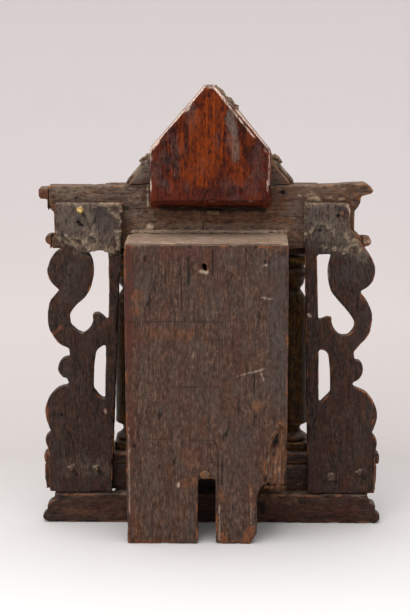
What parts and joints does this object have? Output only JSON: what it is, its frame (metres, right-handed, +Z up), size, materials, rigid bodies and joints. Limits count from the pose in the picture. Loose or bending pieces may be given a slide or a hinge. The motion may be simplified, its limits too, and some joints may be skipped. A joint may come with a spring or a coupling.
{
  "type": "devotional oratory",
  "caption": "Small wooden house altar: a columned front with a steep pediment, pierced scroll wings and an empty box niche behind an arched opening.",
  "frame": {"origin": "on the floor under the middle of the bounding box", "axes": "+Z up, +Y towards the columned front, +X to the right when seen from the back"},
  "size_m": [0.3468, 0.1286, 0.4465],
  "materials": {
    "dark_walnut": "dark stained old wood, dull, worn",
    "worn_walnut": "old walnut-like wood, dull brown-grey",
    "rubbed_walnut": "rubbed lighter brown wood",
    "dusty_walnut": "greyed dusty wood",
    "varnished_red_wood": "red-brown wood with old glossy varnish",
    "peg_wood": "pale bare wood",
    "worn_gilding": "carved wood with worn gilding",
    "brass_nail": "worn yellow metal",
    "iron_nail": "rusty wrought iron"
  },
  "bodies": {
    "root": {"arch_board": "worn_walnut", "archivolt": "worn_gilding", "back_board": "worn_walnut", "base_beam": "dark_walnut", "base_cap": "worn_walnut", "bead_bay": "worn_walnut", "bead_bay_left": "worn_walnut", "bead_bay_right": "worn_walnut", "bead_end_left": "worn_walnut", "bead_end_right": "worn_walnut", "bead_wing_left": "worn_walnut", "bead_wing_right": "worn_walnut", "bent_nail_lower": "iron_nail", "bent_nail_upper": "iron_nail", "block_peg": "rubbed_walnut", "column_abacus_left": "worn_gilding", "column_abacus_right": "worn_gilding", "column_foot_left": "worn_gilding", "column_foot_right": "worn_gilding", "column_left": "worn_gilding", "column_right": "worn_gilding", "cornice_bay": "worn_walnut", "cornice_bay_left": "worn_walnut", "cornice_bay_right": "worn_walnut", "cornice_end_left": "worn_walnut", "cornice_wing_left": "worn_walnut", "cornice_wing_right": "worn_walnut", "entablature_beam": "worn_walnut", "entablature_plank": "rubbed_walnut", "field_left": "worn_gilding", "field_middle": "worn_gilding", "field_right": "worn_gilding", "frieze_tablet_left": "worn_gilding", "frieze_tablet_right": "worn_gilding", "nail_left_top": "brass_nail", "nail_right_square": "iron_nail", "nail_right_top": "iron_nail", "niche_floor": "dark_walnut", "niche_side_left": "dark_walnut", "niche_side_right": "dark_walnut", "niche_top": "dusty_walnut", "pedestal": "worn_walnut", "pedestal_cap": "worn_walnut", "pediment_block": "varnished_red_wood", "pediment_board": "worn_walnut", "pediment_boss": "worn_gilding", "pediment_sill": "worn_walnut", "peg_board": "peg_wood", "peg_left_inner": "peg_wood", "peg_left_outer": "peg_wood", "peg_right_low": "peg_wood", "plinth_plank": "worn_walnut", "plinth_step": "worn_walnut", "rake_left": "worn_walnut", "rake_right": "worn_walnut", "scroll_left": "dark_walnut", "scroll_right": "dark_walnut"}
  },
  "joints": []
}
